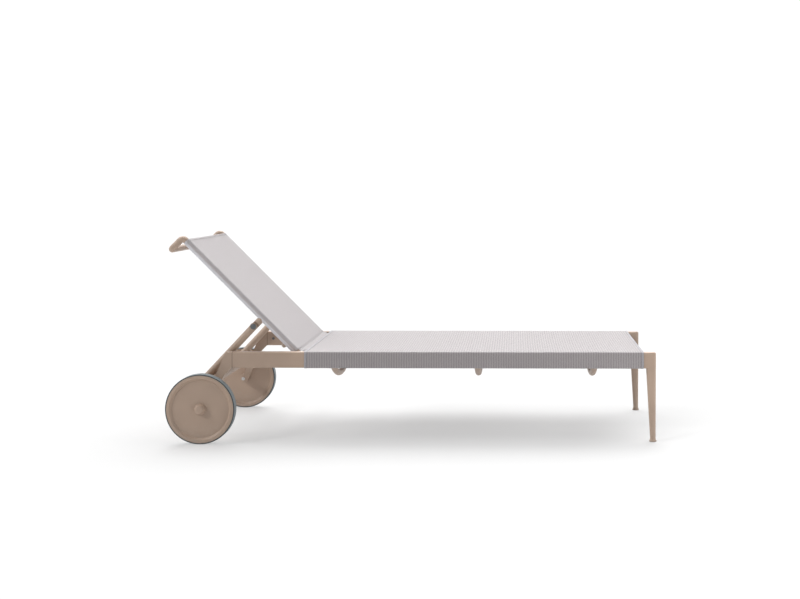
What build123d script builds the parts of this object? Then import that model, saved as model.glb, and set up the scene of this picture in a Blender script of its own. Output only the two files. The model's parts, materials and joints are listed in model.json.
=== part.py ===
"""Reclining sun lounger: a low painted frame on two tapered legs and two wheels, with a taut
fabric sling for a seat and a hinged sling backrest that a notched stay holds up.

Millimetres. +Z is up and the floor is Z 0. The head end is -X, the foot end is +X, and the
user's left is +Y. The origin is on the floor under the middle of the lounger as it stands,
with its backrest raised. A station is a distance from the legs' foot-end faces to the head.
"""

import os
from math import asin, atan2, cos, degrees, hypot, radians, sin, sqrt

from build123d import *

os.makedirs("parts", exist_ok=True)

# ---------------------------------------------------------------- driving dimensions
# Rails
frame_width = 680.0  # over the outer faces of the two rails
rail_length = 1573.0
rail_height = 60.0
rail_thickness = 30.0
rail_wall = 2.0
rail_top = 340.6  # height of the rails' top faces above the floor
rail_edge_radius = 3.0
groove_block = 13.0  # solid depth at the rail's bottom, which holds the keder groove
groove_radius = 4.4
groove_mouth = 3.4

# Legs
leg_block_length = 46.6
leg_block_edge_radius = 5.0
leg_top_width = 37.0
leg_shaft_inset = 1.0  # of the shaft's sides from the rail's faces
leg_foot_width = 21.4
leg_foot_corner_radius = 10.5
leg_corner_radius = 9.0
leg_flare_height = 12.0
leg_flare_hollow = 1.2  # of the flare's side, in from a straight line
glide_radius = 14.0
glide_height = 4.0
glide_edge_radius = 1.2
glide_station = 11.4
glide_stem_radius = 4.0
glide_stem_length = 13.0
glide_hole_depth = 14.0

# Spigots of the legs and wheel brackets, inside the ends of the rails
spigot_length = 48.0
spigot_clearance = 0.15
spigot_screw_inset = 29.6
spigot_screw_radius = 3.0
spigot_screw_head = 3.0
spigot_screw_length = 14.0
spigot_hole_depth = 15.0

# Dipped cross tubes under the seat
seat_tube_foot_station = 226.0
seat_tube_middle_station = 684.0
seat_tube_head_inset = 370.6  # of the head tube from the rails' head ends
seat_tube_diameter = 25.0
seat_tube_wall = 2.0
seat_tube_end_drop = 38.0  # from the rails' top faces to the tube ends' centre
seat_tube_low_point = 205.0  # underside of the dip above the floor
seat_tube_flat = 200.0  # between the corners that the low bends round off
seat_tube_straight = 35.0
seat_tube_low_bend = 420.0
seat_tube_top_bend = 50.0
insert_length = 18.0
cross_screw_radius = 4.0
cross_screw_head = 5.0
cross_screw_length = 16.5

# Wheels and their brackets
axle_behind_rail = 106.5
wheel_radius = 131.8
wheel_width = 35.6
wheel_gap = 22.0  # from the rails' outer faces to the wheels' inner faces
tyre_thickness = 4.3
tyre_inset = 0.4  # of the tyre's sides from the wheel's faces
tyre_shoulder = 2.6
wheel_rim_band = 11.0
wheel_dish = 9.0
wheel_dish_slope = 8.0
wheel_shell = 3.0
wheel_rim_chamfer = 1.5
hub_radius = 19.0
hub_end_gap = 0.2  # between the hub and the washer on the bracket's boss
axle_radius = 8.0
axle_running_clearance = 0.05
axle_end_inset = 6.0  # of the axle's end from the wheel's outer face
axle_thread_depth = 22.0
wheel_bush_radius = 10.0
wheel_bush_share = 0.32  # of the hub's length, for each of its two bushes
wheel_side_play = 1.0
washer_play = 0.2
washer_rim = 4.0
clip_inset = 4.0  # from the axle's end to the clip's groove
clip_groove_width = 1.2
clip_groove_depth = 1.0
clip_rim = 2.6
clip_play = 0.05
cap_base_radius = 22.0
cap_face_radius = 16.0
cap_height = 22.0
cap_edge_radius = 5.0
cap_side_hollow = 1.0
cap_clearance = 0.1
boss_radius = 19.5
boss_length = 29.0
boss_blend = 12.0  # height over the boss at which the arm reaches the boss's width
bracket_top_length = 22.0
bracket_corner_radius = 9.0
bracket_side_drop = 8.0  # below the rail, where the outer side starts to lean out
bracket_web = 6.0  # depth of the bracket's web behind the axle
bracket_arm_lean = 7.5  # of the arm's head edge past the axle, at the axle's height
bracket_elbow_run = 25.4
bracket_elbow_drop = 25.0
axle_screw_radius = 4.0
axle_screw_head = 4.5
axle_screw_length = 24.0
axle_screw_socket = 2.5  # depth and radius of the drive socket

# Fixed cross tube behind the rails, which the stay rests on
prop_tube_behind_rail = 64.4
prop_tube_height = 233.0
prop_tube_diameter = 28.0
prop_tube_wall = 2.5
prop_collar_wall = 4.0
prop_collar_length = 6.0
prop_socket_depth = 12.0
prop_end_gap = 0.5

# Backrest
hinge_behind_sling = 27.5
hinge_below_rail_top = 15.6
backrest_angle = 45.0
backrest_length = 636.0
backrest_side_gap = 8.5
back_tube_diameter = 25.0
back_tube_wall = 2.0
grip_drop = 64.0
grip_bend_inside = 1.5  # radius on the inside of the grip's bends
knuckle_length = 18.0
knuckle_spigot = 30.0
brace_along = 70.0
brace_diameter = 20.0
brace_wall = 1.5
brace_dip = 34.0
brace_run = 60.0
brace_straight = 14.0
brace_end_bend = 14.0
brace_low_bend = 28.0
weld_gap = 0.02
hinge_pin_radius = 5.0
hinge_bush_wall = 2.0
hinge_flange = 1.4
hinge_flange_rim = 2.5
hinge_side_play = 0.3
hinge_boss_radius = 13.0
hinge_head_height = 5.0
hinge_nut_height = 7.0
hinge_nut_radius = 9.25
hinge_thread_end = 2.0  # of the pin past its nut

# Stay
stay_pivot_along = 200.2
stay_pivot_below = 46.6
stay_tube_diameter = 28.0
stay_tube_wall = 2.0
stay_length = 350.0
stay_bend_radius = 32.0
stay_neck_start = 20.0
stay_neck_length = 8.0
stay_spigot = 30.0
lug_neck_radius = 13.0
lug_neck_length = 28.0
lap_gap = 1.2
pivot_pin_radius = 5.0
pivot_bush_wall = 2.0
pivot_head_radius = 11.0
pivot_head_height = 3.6
pivot_head_gap = 0.3
pivot_head_round = 1.4
pivot_slot_length = 12.0
pivot_slot_width = 2.0
pivot_slot_depth = 1.5
comb_width = 10.0
comb_floor = 6.5
comb_tooth_height = 5.0
comb_tooth_width = 6.0
comb_end_margin = 2.5
comb_notches = 3  # the raised position's and two steeper ones
comb_pitch = 31.4
prop_clearance = 0.34  # between the stay and its cross tube, raised and flat

# Stops that the backrest lies on when it is flat
stop_along = 120.0
stop_length = 25.0
stop_height = 16.0
stop_corner_radius = 4.0
stop_overhang = 7.5  # of the stop past the side tube's middle
stop_pad_thickness = 3.0
stop_pad_side_margin = 2.0
stop_pad_end_margin = 3.0
stop_clearance = 0.4

# Slings
sling_thickness = 1.2
sling_clearance = 0.2
rail_bare_length = 278.1  # of the rails' head ends, behind the seat sling
seat_sling_gap = 0.3  # between the sling's foot edge and the legs
back_sling_start = 16.0
back_sling_length = 601.0
keder_radius = 2.6
keder_clearance = 0.02
keder_end_inset = 5.0
slot_margin = 2.0

# Running fits and threads
running_clearance = 0.05
thread_clearance = 0.05
head_width_ratio = 1.8  # of a screw's head to its shank
overlap = 1.0  # by which joined pieces of one solid run into each other, and cutters run out

# ---------------------------------------------------------------- derived places
half_width = frame_width / 2
inner_face = half_width - rail_thickness
rail_middle = half_width - rail_thickness / 2
rail_bottom = rail_top - rail_height
head_seam = leg_block_length + rail_length
sling_head_edge = head_seam - rail_bare_length
axle_station = head_seam + axle_behind_rail
prop_tube_station = head_seam + prop_tube_behind_rail
seat_tube_stations = {
    "head": head_seam - seat_tube_head_inset,
    "middle": seat_tube_middle_station,
    "foot": seat_tube_foot_station,
}

back_r = back_tube_diameter / 2
stay_r = stay_tube_diameter / 2
stay_eye_radius = stay_r  # the eye is as wide as its tube
prop_r = prop_tube_diameter / 2
back_tube_y = inner_face - backrest_side_gap - back_r

hinge_station = sling_head_edge + hinge_behind_sling
hinge_height = rail_top - hinge_below_rail_top


def backrest_point(angle, along, below):
    """Station and height of a point of the backrest, for an angle above the horizontal."""
    tilt = radians(angle)
    station = hinge_station + along * cos(tilt) + below * sin(tilt)
    height = hinge_height + along * sin(tilt) - below * cos(tilt)
    return station, height


def stay_contact(angle, depth):
    """Pivot, slope below the horizontal and contact distance of the stay on its tube.

    The depth is from the stay's middle line to the face that rests on the tube.
    """
    station, height = backrest_point(angle, stay_pivot_along, stay_pivot_below)
    run = prop_tube_station - station
    fall = height - prop_tube_height
    reach = hypot(run, fall)
    offset = depth + prop_clearance + prop_r
    slope = degrees(atan2(fall, run) - asin(offset / reach))
    return (station, height), slope, sqrt(reach**2 - offset**2)


# Raised, a notch of the combs rests on the tube; flat, the bare arms do.
comb_depth = stay_r + comb_floor
pivot_place, stay_slope, raised_contact = stay_contact(backrest_angle, comb_depth)
flat_slope, flat_contact = stay_contact(0.0, stay_r)[1:]

grip_station = backrest_point(backrest_angle, backrest_length, grip_drop)[0]
head_reach = max(grip_station + back_r, axle_station + wheel_radius)
foot_reach = max(0.0, glide_radius - glide_station)
foot_face_x = (head_reach + foot_reach) / 2 - foot_reach


def x_at(station):
    """X of a station."""
    return foot_face_x - station


def frame_location(station, height, x_direction, z_direction):
    """Location with its own X and Z directions at a station and height of the middle plane."""
    origin = (x_at(station), 0, height)
    return Plane(origin=origin, x_dir=x_direction, z_dir=z_direction).location


tilt = radians(backrest_angle)
slope = radians(stay_slope)
# Backrest: X runs up the side tubes from the hinge and Z out of the lying side.
backrest = frame_location(
    hinge_station, hinge_height, (-cos(tilt), 0, sin(tilt)), (sin(tilt), 0, cos(tilt))
)
# Stay: X runs down the arms from the pivot and Z out of the upper side.
stay = frame_location(*pivot_place, (-cos(slope), 0, -sin(slope)), (-sin(slope), 0, cos(slope)))


# ---------------------------------------------------------------- helpers
def save(name, part):
    export_step(part, f"parts/{name}.step")


def save_pair(name, left_part):
    """Write a left part and its mirror image on the right."""
    save(f"{name}_left", left_part)
    save(f"{name}_right", mirror(left_part, about=Plane.XZ))


def both_sides(left_part):
    """A left part and its mirror image as one group of separate solids."""
    return Compound(children=[left_part, mirror(left_part, about=Plane.XZ)])


def group(parts):
    return Compound(children=[solid for part in parts for solid in part.solids()])


def outline(*points):
    return make_face(Polyline(*points, close=True))


def rod_y(x, z, radius, y_from, y_to):
    """Cylinder across the lounger between two distances from the middle plane."""
    middle = (y_from + y_to) / 2
    return Pos(x, middle, z) * Rot(90, 0, 0) * Cylinder(radius, abs(y_to - y_from))


def ring_y(x, z, outer, inner, y_from, y_to):
    return rod_y(x, z, outer, y_from, y_to) - rod_y(x, z, inner, y_from, y_to)


def box_between(x_range, y_range, z_range):
    """Box from its limits along each axis."""
    sizes = [high - low for low, high in (x_range, y_range, z_range)]
    middles = [(low + high) / 2 for low, high in (x_range, y_range, z_range)]
    return Pos(*middles) * Box(*sizes)


def along_rail(section, from_station, to_station):
    """Extrude a (Y, Z) section along the lounger between two stations."""
    start = Pos(x_at(to_station), 0, 0) * (Plane.YZ * section)
    return extrude(start, amount=to_station - from_station)


def across(profile, y_from, y_to):
    """Extrude an (X, Z) profile between two distances from the middle plane."""
    return extrude(Pos(0, y_to, 0) * (Plane.XZ * profile), amount=y_to - y_from)


def bent(points, bend_radius, section):
    """Sweep a section along straight runs joined by tangent bends."""
    path = FilletPolyline(*points, radius=bend_radius)
    return sweep(Plane(origin=path @ 0, z_dir=path % 0) * section, path=path)


def tube(points, bend_radius, diameter, wall):
    return bent(points, bend_radius, Circle(diameter / 2) - Circle(diameter / 2 - wall))


def turned(profile_points, x, z):
    """Revolve a (radius, Y) profile about an axis across the lounger."""
    return Pos(x, 0, z) * revolve(outline(*profile_points), axis=Axis.Y)


# ---------------------------------------------------------------- rails and fixings
def rail_section():
    """Hollow rail with an open round groove in its underside for the sling's keder."""
    middle = (rail_middle, rail_top - rail_height / 2)
    groove_z = rail_bottom + groove_block / 2
    cavity_height = rail_height - rail_wall - groove_block
    cavity = Pos(rail_middle, rail_top - rail_wall - cavity_height / 2) * Rectangle(
        rail_thickness - 2 * rail_wall, cavity_height
    )
    mouth = Pos(rail_middle, rail_bottom) * Rectangle(groove_mouth, groove_block)
    body = Pos(*middle) * RectangleRounded(rail_thickness, rail_height, rail_edge_radius)
    return body - cavity - Pos(rail_middle, groove_z) * Circle(groove_radius) - mouth


def spigot(from_station, to_station):
    """Plug of a leg or bracket that fits the rail's cavity."""
    cavity_height = rail_height - rail_wall - groove_block
    section = Pos(rail_middle, rail_top - rail_wall - cavity_height / 2) * Rectangle(
        rail_thickness - 2 * rail_wall - 2 * spigot_clearance,
        cavity_height - 2 * spigot_clearance,
    )
    return along_rail(section, from_station, to_station)


spigot_screw_z = rail_top - rail_height / 2
spigot_screw_places = [
    leg_block_length + spigot_screw_inset,
    head_seam - spigot_screw_inset,
]
seat_tube_z = rail_top - seat_tube_end_drop
inner_wall_outer_face = inner_face + rail_wall

side_rail = along_rail(rail_section(), leg_block_length, head_seam)
for place in spigot_screw_places:
    side_rail -= rod_y(
        x_at(place),
        spigot_screw_z,
        spigot_screw_radius + running_clearance,
        inner_face,
        inner_wall_outer_face,
    )
for place in seat_tube_stations.values():
    side_rail -= rod_y(
        x_at(place),
        seat_tube_z,
        cross_screw_radius + running_clearance,
        inner_face,
        inner_wall_outer_face,
    )
side_rail -= rod_y(
    x_at(hinge_station),
    hinge_height,
    hinge_pin_radius + running_clearance,
    inner_face,
    inner_wall_outer_face,
)
save_pair("side_rail", side_rail)


def pan_screw(x, z, radius, head_y, head_height, length):
    """Left-hand screw along Y, its pan head on the low-Y side of the face at head_y."""
    head = rod_y(x, z, radius * head_width_ratio, head_y - head_height, head_y)
    shank = rod_y(x, z, radius, head_y, head_y + length)
    head = fillet(head.edges().group_by(Axis.Y)[0], radius / 2)
    return head + shank


spigot_screws = [
    pan_screw(
        x_at(place),
        spigot_screw_z,
        spigot_screw_radius,
        inner_face,
        spigot_screw_head,
        spigot_screw_length,
    )
    for place in spigot_screw_places
]
save("spigot_screws", group([both_sides(screw) for screw in spigot_screws]))


# ---------------------------------------------------------------- legs
def leg_section(middle_station, width, depth, corner, z):
    """Rounded rectangle across the leg at a height."""
    return Pos(x_at(middle_station), rail_middle, z) * RectangleRounded(width, depth, corner)


def leg_flare():
    """Hollow-sided flare from the shaft's foot out to the glide."""
    neck = (leg_foot_width / 2, glide_height + leg_flare_height)
    rim = (glide_radius, glide_height)
    side = SagittaArc(rim, neck, leg_flare_hollow)
    top = Polyline(neck, (0, neck[1]), (0, glide_height), rim)
    return revolve(Plane.XZ * make_face(Curve() + [side, top]), axis=Axis.Z)


def spigot_hole(place):
    """Threaded hole of a spigot's screw, from the rail's inner face."""
    return rod_y(
        x_at(place),
        spigot_screw_z,
        spigot_screw_radius + thread_clearance,
        inner_face,
        inner_face + spigot_hole_depth,
    )


def make_leg():
    block = box_between(
        (x_at(leg_block_length), foot_face_x),
        (inner_face, half_width),
        (rail_bottom, rail_top),
    )
    foot_corners = block.edges().filter_by(Axis.Z).group_by(Axis.X)[-1]
    block = fillet(foot_corners, leg_corner_radius)
    top_edges = block.edges().group_by(Axis.Z)[-1].filter_by(Axis.Y, reverse=True)
    block = fillet(top_edges, leg_block_edge_radius)
    shaft = loft(
        [
            leg_section(
                glide_station,
                leg_foot_width,
                leg_foot_width,
                leg_foot_corner_radius,
                glide_height + leg_flare_height - overlap,
            ),
            leg_section(
                leg_top_width / 2,
                leg_top_width,
                rail_thickness - 2 * leg_shaft_inset,
                leg_corner_radius,
                rail_bottom + overlap,
            ),
        ]
    )
    flare = Pos(x_at(glide_station), rail_middle, 0) * leg_flare()
    stem_z = glide_height + glide_hole_depth / 2
    stem_hole = Pos(x_at(glide_station), rail_middle, stem_z) * Cylinder(
        glide_stem_radius + thread_clearance, glide_hole_depth
    )
    plug = spigot(leg_block_length - overlap, leg_block_length + spigot_length)
    return block + shaft + flare + plug - stem_hole - spigot_hole(spigot_screw_places[0])


save_pair("leg", make_leg())

glide = Cylinder(glide_radius, glide_height, align=(Align.CENTER, Align.CENTER, Align.MIN))
glide = fillet(glide.edges().group_by(Axis.Z)[0], glide_edge_radius)
glide += Pos(0, 0, glide_height + glide_stem_length / 2) * Cylinder(
    glide_stem_radius, glide_stem_length
)
save_pair("foot_glide", Pos(x_at(glide_station), rail_middle, 0) * glide)


# ---------------------------------------------------------------- seat cross tubes
def dipped_path(x, end_y, end_z, low_z, flat, straight):
    """Points of a tube that leaves both rails level and dips to a flat middle."""
    shoulder = end_y - straight
    right = [(x, -end_y, end_z), (x, -shoulder, end_z), (x, -flat / 2, low_z)]
    left = [(x, -y, z) for _, y, z in reversed(right)]
    return right + left


seat_tube_low_z = seat_tube_low_point + seat_tube_diameter / 2
insert_radius = seat_tube_diameter / 2 - seat_tube_wall
bends = [seat_tube_top_bend, seat_tube_low_bend, seat_tube_low_bend, seat_tube_top_bend]
insert_parts = []
cross_screws = []
for name, place in seat_tube_stations.items():
    points = dipped_path(
        x_at(place), inner_face, seat_tube_z, seat_tube_low_z, seat_tube_flat, seat_tube_straight
    )
    save(f"seat_cross_tube_{name}", tube(points, bends, seat_tube_diameter, seat_tube_wall))
    insert = ring_y(
        x_at(place),
        seat_tube_z,
        insert_radius,
        cross_screw_radius + thread_clearance,
        inner_face - insert_length,
        inner_face,
    )
    insert_parts.append(both_sides(insert))
    screw = pan_screw(0, 0, cross_screw_radius, 0, cross_screw_head, cross_screw_length)
    inward = mirror(screw, about=Plane.XZ)
    cross_screws.append(both_sides(Pos(x_at(place), inner_wall_outer_face, seat_tube_z) * inward))
save("cross_tube_inserts", group(insert_parts))
save("cross_tube_screws", group(cross_screws))


# ---------------------------------------------------------------- wheel brackets
axle_x = x_at(axle_station)
axle_z = wheel_radius
wheel_inner = half_width + wheel_gap
wheel_outer = wheel_inner + wheel_width
boss_outer = wheel_inner - wheel_side_play
boss_inner = boss_outer - boss_length
axle_shoulder = boss_inner + bracket_web
prop_x = x_at(prop_tube_station)
collar_radius = prop_r + prop_collar_wall
collar_end = inner_face - prop_collar_length
socket_end = collar_end + prop_socket_depth


def make_wheel_bracket():
    top_head = head_seam + bracket_top_length
    side = outline(
        (x_at(head_seam), rail_top),
        (x_at(top_head), rail_top),
        (x_at(axle_station + bracket_arm_lean), axle_z),
        (x_at(axle_station - boss_radius), axle_z),
        (x_at(head_seam + bracket_elbow_run), rail_bottom - bracket_elbow_drop),
        (x_at(head_seam), rail_bottom),
    )
    top_corner = side.vertices().sort_by_distance((x_at(top_head), rail_top))[0]
    side = fillet(top_corner, bracket_corner_radius)
    side += Pos(axle_x, axle_z) * Circle(boss_radius)
    side += Pos(prop_x, prop_tube_height) * Circle(collar_radius)
    front = outline(
        (inner_face, rail_top),
        (half_width, rail_top),
        (half_width, rail_bottom - bracket_side_drop),
        (boss_outer, axle_z + boss_radius + boss_blend),
        (boss_outer, axle_z - boss_radius - overlap),
        (boss_inner, axle_z - boss_radius - overlap),
        (boss_inner, axle_z + boss_radius + boss_blend),
        (inner_face, prop_tube_height - collar_radius),
    )
    arm = across(side, inner_face, boss_outer) & along_rail(
        front, head_seam, axle_station + 2 * boss_radius
    )
    collar = rod_y(prop_x, prop_tube_height, collar_radius, collar_end, inner_face + overlap)
    tube_bore = rod_y(
        prop_x, prop_tube_height, prop_r + thread_clearance, collar_end, socket_end
    )
    axle_bore = rod_y(axle_x, axle_z, axle_radius + thread_clearance, axle_shoulder, boss_outer)
    screw_bore = rod_y(
        axle_x, axle_z, axle_screw_radius + running_clearance, boss_inner, axle_shoulder
    )
    plug = spigot(head_seam - spigot_length, head_seam + overlap)
    bores = tube_bore + axle_bore + screw_bore + spigot_hole(spigot_screw_places[1])
    return arm + collar + plug - bores


save_pair("wheel_bracket", make_wheel_bracket())

prop_end = socket_end - prop_end_gap
save(
    "prop_cross_tube",
    ring_y(prop_x, prop_tube_height, prop_r, prop_r - prop_tube_wall, -prop_end, prop_end),
)


# ---------------------------------------------------------------- axles and wheels
axle_end = wheel_outer - axle_end_inset
clip_from = axle_end - clip_inset
clip_to = clip_from + clip_groove_width
clip_groove_radius = axle_radius - clip_groove_depth
axle = rod_y(axle_x, axle_z, axle_radius, axle_shoulder, axle_end)
axle -= rod_y(
    axle_x,
    axle_z,
    axle_screw_radius + thread_clearance,
    axle_shoulder,
    axle_shoulder + axle_thread_depth,
)
axle -= ring_y(axle_x, axle_z, axle_radius + overlap, clip_groove_radius, clip_from, clip_to)
save_pair("axle", axle)

axle_screw = pan_screw(
    axle_x, axle_z, axle_screw_radius, boss_inner, axle_screw_head, axle_screw_length
)
screw_face = boss_inner - axle_screw_head
drive_socket = rod_y(
    axle_x, axle_z, axle_screw_socket, screw_face, screw_face + axle_screw_socket
)
save_pair("axle_screw", axle_screw - drive_socket)

axle_washer = ring_y(
    axle_x,
    axle_z,
    wheel_bush_radius + washer_rim,
    axle_radius + running_clearance,
    boss_outer,
    wheel_inner - washer_play,
)
axle_clip = ring_y(
    axle_x,
    axle_z,
    axle_radius + clip_rim,
    clip_groove_radius + thread_clearance,
    clip_from + clip_play,
    clip_to - clip_play,
)
save("axle_washers", both_sides(axle_washer))
save("axle_clips", both_sides(axle_clip))

rim_radius = wheel_radius - tyre_thickness
band_inner = rim_radius - wheel_rim_band
dish_radius = band_inner - wheel_dish_slope
wheel_middle = (wheel_inner + wheel_outer) / 2
hub_inner = wheel_inner + hub_end_gap
hub_outer = clip_from - hub_end_gap


def wheel_shell_profile(face_y, toward_middle):
    """Dished half wheel from its hub to its rim; toward_middle is -1 or 1 along Y."""
    dish_y = face_y + toward_middle * wheel_dish
    wall = toward_middle * wheel_shell
    return [
        (hub_radius, dish_y),
        (dish_radius, dish_y),
        (band_inner, face_y),
        (rim_radius - wheel_rim_chamfer, face_y),
        (rim_radius, face_y + toward_middle * wheel_rim_chamfer),
        (rim_radius, wheel_middle),
        (rim_radius - wheel_shell, wheel_middle),
        (rim_radius - wheel_shell, face_y + wall),
        (band_inner, face_y + wall),
        (dish_radius, dish_y + wall),
        (hub_radius, dish_y + wall),
    ]


save_pair("wheel_outer_shell", turned(wheel_shell_profile(wheel_outer, -1), axle_x, axle_z))
save_pair("wheel_inner_shell", turned(wheel_shell_profile(wheel_inner, 1), axle_x, axle_z))



def tyre_profile():
    """Tread with chamfered shoulders between the wheel's two faces."""
    inner, outer = wheel_inner + tyre_inset, wheel_outer - tyre_inset
    side_radius = wheel_radius - tyre_shoulder
    return [
        (rim_radius, inner),
        (side_radius, inner),
        (wheel_radius, inner + tyre_shoulder),
        (wheel_radius, outer - tyre_shoulder),
        (side_radius, outer),
        (rim_radius, outer),
    ]


save_pair("tyre", turned(tyre_profile(), axle_x, axle_z))
save_pair(
    "wheel_hub", ring_y(axle_x, axle_z, hub_radius, wheel_bush_radius, hub_inner, hub_outer)
)


def wheel_bush(y_from, y_to):
    return ring_y(
        axle_x, axle_z, wheel_bush_radius, axle_radius + axle_running_clearance, y_from, y_to
    )


bush_length = (hub_outer - hub_inner) * wheel_bush_share
save_pair(
    "wheel_bushes",
    group(
        [
            wheel_bush(hub_inner, hub_inner + bush_length),
            wheel_bush(hub_outer - bush_length, hub_outer),
        ]
    ),
)

cap_foot = wheel_outer - wheel_dish
cap_top = cap_foot + cap_height
cap_spigot_radius = hub_radius - cap_clearance
cap_spigot_end = hub_outer + cap_clearance
cap_bore_radius = axle_radius + clip_rim + overlap
cap_cavity_end = axle_end + overlap
cap_face_y = cap_top - cap_edge_radius
cap_profile = make_face(
    Curve()
    + [
        Line((0, cap_cavity_end), (0, cap_top)),
        Line((0, cap_top), (cap_face_radius - cap_edge_radius, cap_top)),
        RadiusArc(
            (cap_face_radius - cap_edge_radius, cap_top),
            (cap_face_radius, cap_face_y),
            cap_edge_radius,
        ),
        SagittaArc((cap_face_radius, cap_face_y), (cap_base_radius, cap_foot), cap_side_hollow),
        Line((cap_base_radius, cap_foot), (cap_spigot_radius, cap_foot)),
        Line((cap_spigot_radius, cap_foot), (cap_spigot_radius, cap_spigot_end)),
        Line((cap_spigot_radius, cap_spigot_end), (cap_bore_radius, cap_spigot_end)),
        Line((cap_bore_radius, cap_spigot_end), (cap_bore_radius, cap_cavity_end)),
        Line((cap_bore_radius, cap_cavity_end), (0, cap_cavity_end)),
    ]
)
save_pair("hub_cap", Pos(axle_x, 0, axle_z) * revolve(cap_profile, axis=Axis.Y))


# ---------------------------------------------------------------- backrest hinge
hinge_x = x_at(hinge_station)
knuckle_outer = back_tube_y + back_r
knuckle_inner = back_tube_y - back_r
flange_outer = knuckle_outer + hinge_flange
boss_face = flange_outer + hinge_side_play
pin_shoulder = knuckle_inner - hinge_side_play

hinge_boss = ring_y(
    hinge_x,
    hinge_height,
    hinge_boss_radius,
    hinge_pin_radius + running_clearance,
    boss_face,
    inner_face,
)
save("hinge_bosses", both_sides(hinge_boss))

hinge_pin = rod_y(
    hinge_x,
    hinge_height,
    hinge_pin_radius,
    pin_shoulder,
    inner_wall_outer_face + hinge_nut_height + hinge_thread_end,
)
hinge_pin_head = rod_y(
    hinge_x,
    hinge_height,
    hinge_pin_radius * head_width_ratio,
    pin_shoulder - hinge_head_height,
    pin_shoulder,
)
save("hinge_pins", both_sides(hinge_pin + hinge_pin_head))

nut_sketch = RegularPolygon(hinge_nut_radius, 6) - Circle(hinge_pin_radius + thread_clearance)
hinge_nut = Pos(hinge_x, 0, hinge_height) * across(
    nut_sketch, inner_wall_outer_face, inner_wall_outer_face + hinge_nut_height
)
save("hinge_nuts", both_sides(hinge_nut))

bush_outer = hinge_pin_radius + hinge_bush_wall
hinge_bush = ring_y(
    hinge_x,
    hinge_height,
    bush_outer,
    hinge_pin_radius + running_clearance,
    knuckle_inner,
    knuckle_outer,
) + ring_y(
    hinge_x,
    hinge_height,
    bush_outer + hinge_flange_rim,
    hinge_pin_radius + running_clearance,
    knuckle_outer,
    flange_outer,
)
save("hinge_bushes", both_sides(hinge_bush))


# ---------------------------------------------------------------- backrest frame
def rod_x(radius, x_from, x_to, y):
    """Cylinder along the local X axis at a local Y."""
    middle = (x_from + x_to) / 2
    return Pos(middle, y, 0) * Rot(0, 90, 0) * Cylinder(radius, x_to - x_from)


# Local Y is the world's -Y, so a left-hand part is made at -Y here.
knuckle = rod_x(back_r, 0, knuckle_length, -back_tube_y)
knuckle += rod_x(
    back_r - back_tube_wall,
    knuckle_length - overlap,
    knuckle_length + knuckle_spigot,
    -back_tube_y,
)
knuckle = backrest * knuckle
knuckle += rod_y(hinge_x, hinge_height, back_r, knuckle_inner, knuckle_outer)
knuckle -= rod_y(
    hinge_x, hinge_height, bush_outer, knuckle_inner - overlap, knuckle_outer + overlap
)
save_pair("backrest_knuckle", knuckle)

grip_bend = back_r + grip_bend_inside
grip_points = [
    (knuckle_length, -back_tube_y, 0),
    (backrest_length, -back_tube_y, 0),
    (backrest_length, -back_tube_y, -grip_drop),
    (backrest_length, back_tube_y, -grip_drop),
    (backrest_length, back_tube_y, 0),
    (knuckle_length, back_tube_y, 0),
]
save(
    "backrest_frame",
    backrest * tube(grip_points, grip_bend, back_tube_diameter, back_tube_wall),
)

brace_end = back_tube_y - back_r + overlap  # cut back to the side tubes' faces below
brace_points = dipped_path(
    brace_along, brace_end, 0, -brace_dip, 2 * (brace_end - brace_run), brace_straight
)
brace_bends = [brace_end_bend, brace_low_bend, brace_low_bend, brace_end_bend]
brace = tube(brace_points, brace_bends, brace_diameter, brace_wall)
for side in (-1, 1):
    brace -= rod_x(back_r + weld_gap, 0, backrest_length, side * back_tube_y)
save("backrest_brace", backrest * brace)


# ---------------------------------------------------------------- stay
pivot_x = x_at(pivot_place[0])
pivot_z = pivot_place[1]
lap_plane = back_tube_y - lap_gap / 2
lug_inner = back_tube_y - lug_neck_radius
eye_outer = back_tube_y + stay_r

lug_plate = Pos(stay_pivot_along, -(lug_inner + lap_plane) / 2, -stay_pivot_below / 2) * Box(
    2 * lug_neck_radius, lap_plane - lug_inner, stay_pivot_below
)
lug_neck = Pos(stay_pivot_along, -back_tube_y, -lug_neck_length / 2) * Cylinder(
    lug_neck_radius, lug_neck_length
)
lug = lug_neck + lug_plate
lug -= rod_x(back_r, 0, backrest_length, -back_tube_y)
lug = backrest * lug
lug += rod_y(pivot_x, pivot_z, stay_eye_radius, lug_inner, lap_plane)
lug -= rod_y(
    pivot_x,
    pivot_z,
    pivot_pin_radius + thread_clearance,
    lug_inner - overlap,
    lap_plane + overlap,
)
lug = lug.solids().sort_by(SortBy.VOLUME)[-1]
save_pair("stay_lug", lug)

eye_inner = back_tube_y + lap_gap / 2
pivot_bush_radius = pivot_pin_radius + pivot_bush_wall
stay_end = rod_y(pivot_x, pivot_z, stay_eye_radius, eye_inner, eye_outer)
tongue = Pos(stay_neck_start / 2, -(eye_inner + eye_outer) / 2, 0) * Box(
    stay_neck_start + 2 * overlap, eye_outer - eye_inner, 2 * stay_eye_radius
)
tongue &= rod_x(stay_r, -overlap, stay_neck_start + overlap, -back_tube_y)
stay_tube_start = stay_neck_start + stay_neck_length
neck = rod_x(stay_r, stay_neck_start, stay_tube_start, -back_tube_y)
stay_plug = rod_x(
    stay_r - stay_tube_wall,
    stay_tube_start - overlap,
    stay_tube_start + stay_spigot,
    -back_tube_y,
)
stay_end += stay * (tongue + neck + stay_plug)
stay_end -= rod_y(
    pivot_x, pivot_z, pivot_bush_radius, eye_inner - overlap, eye_outer + overlap
)
save_pair("stay_end", stay_end)

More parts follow.
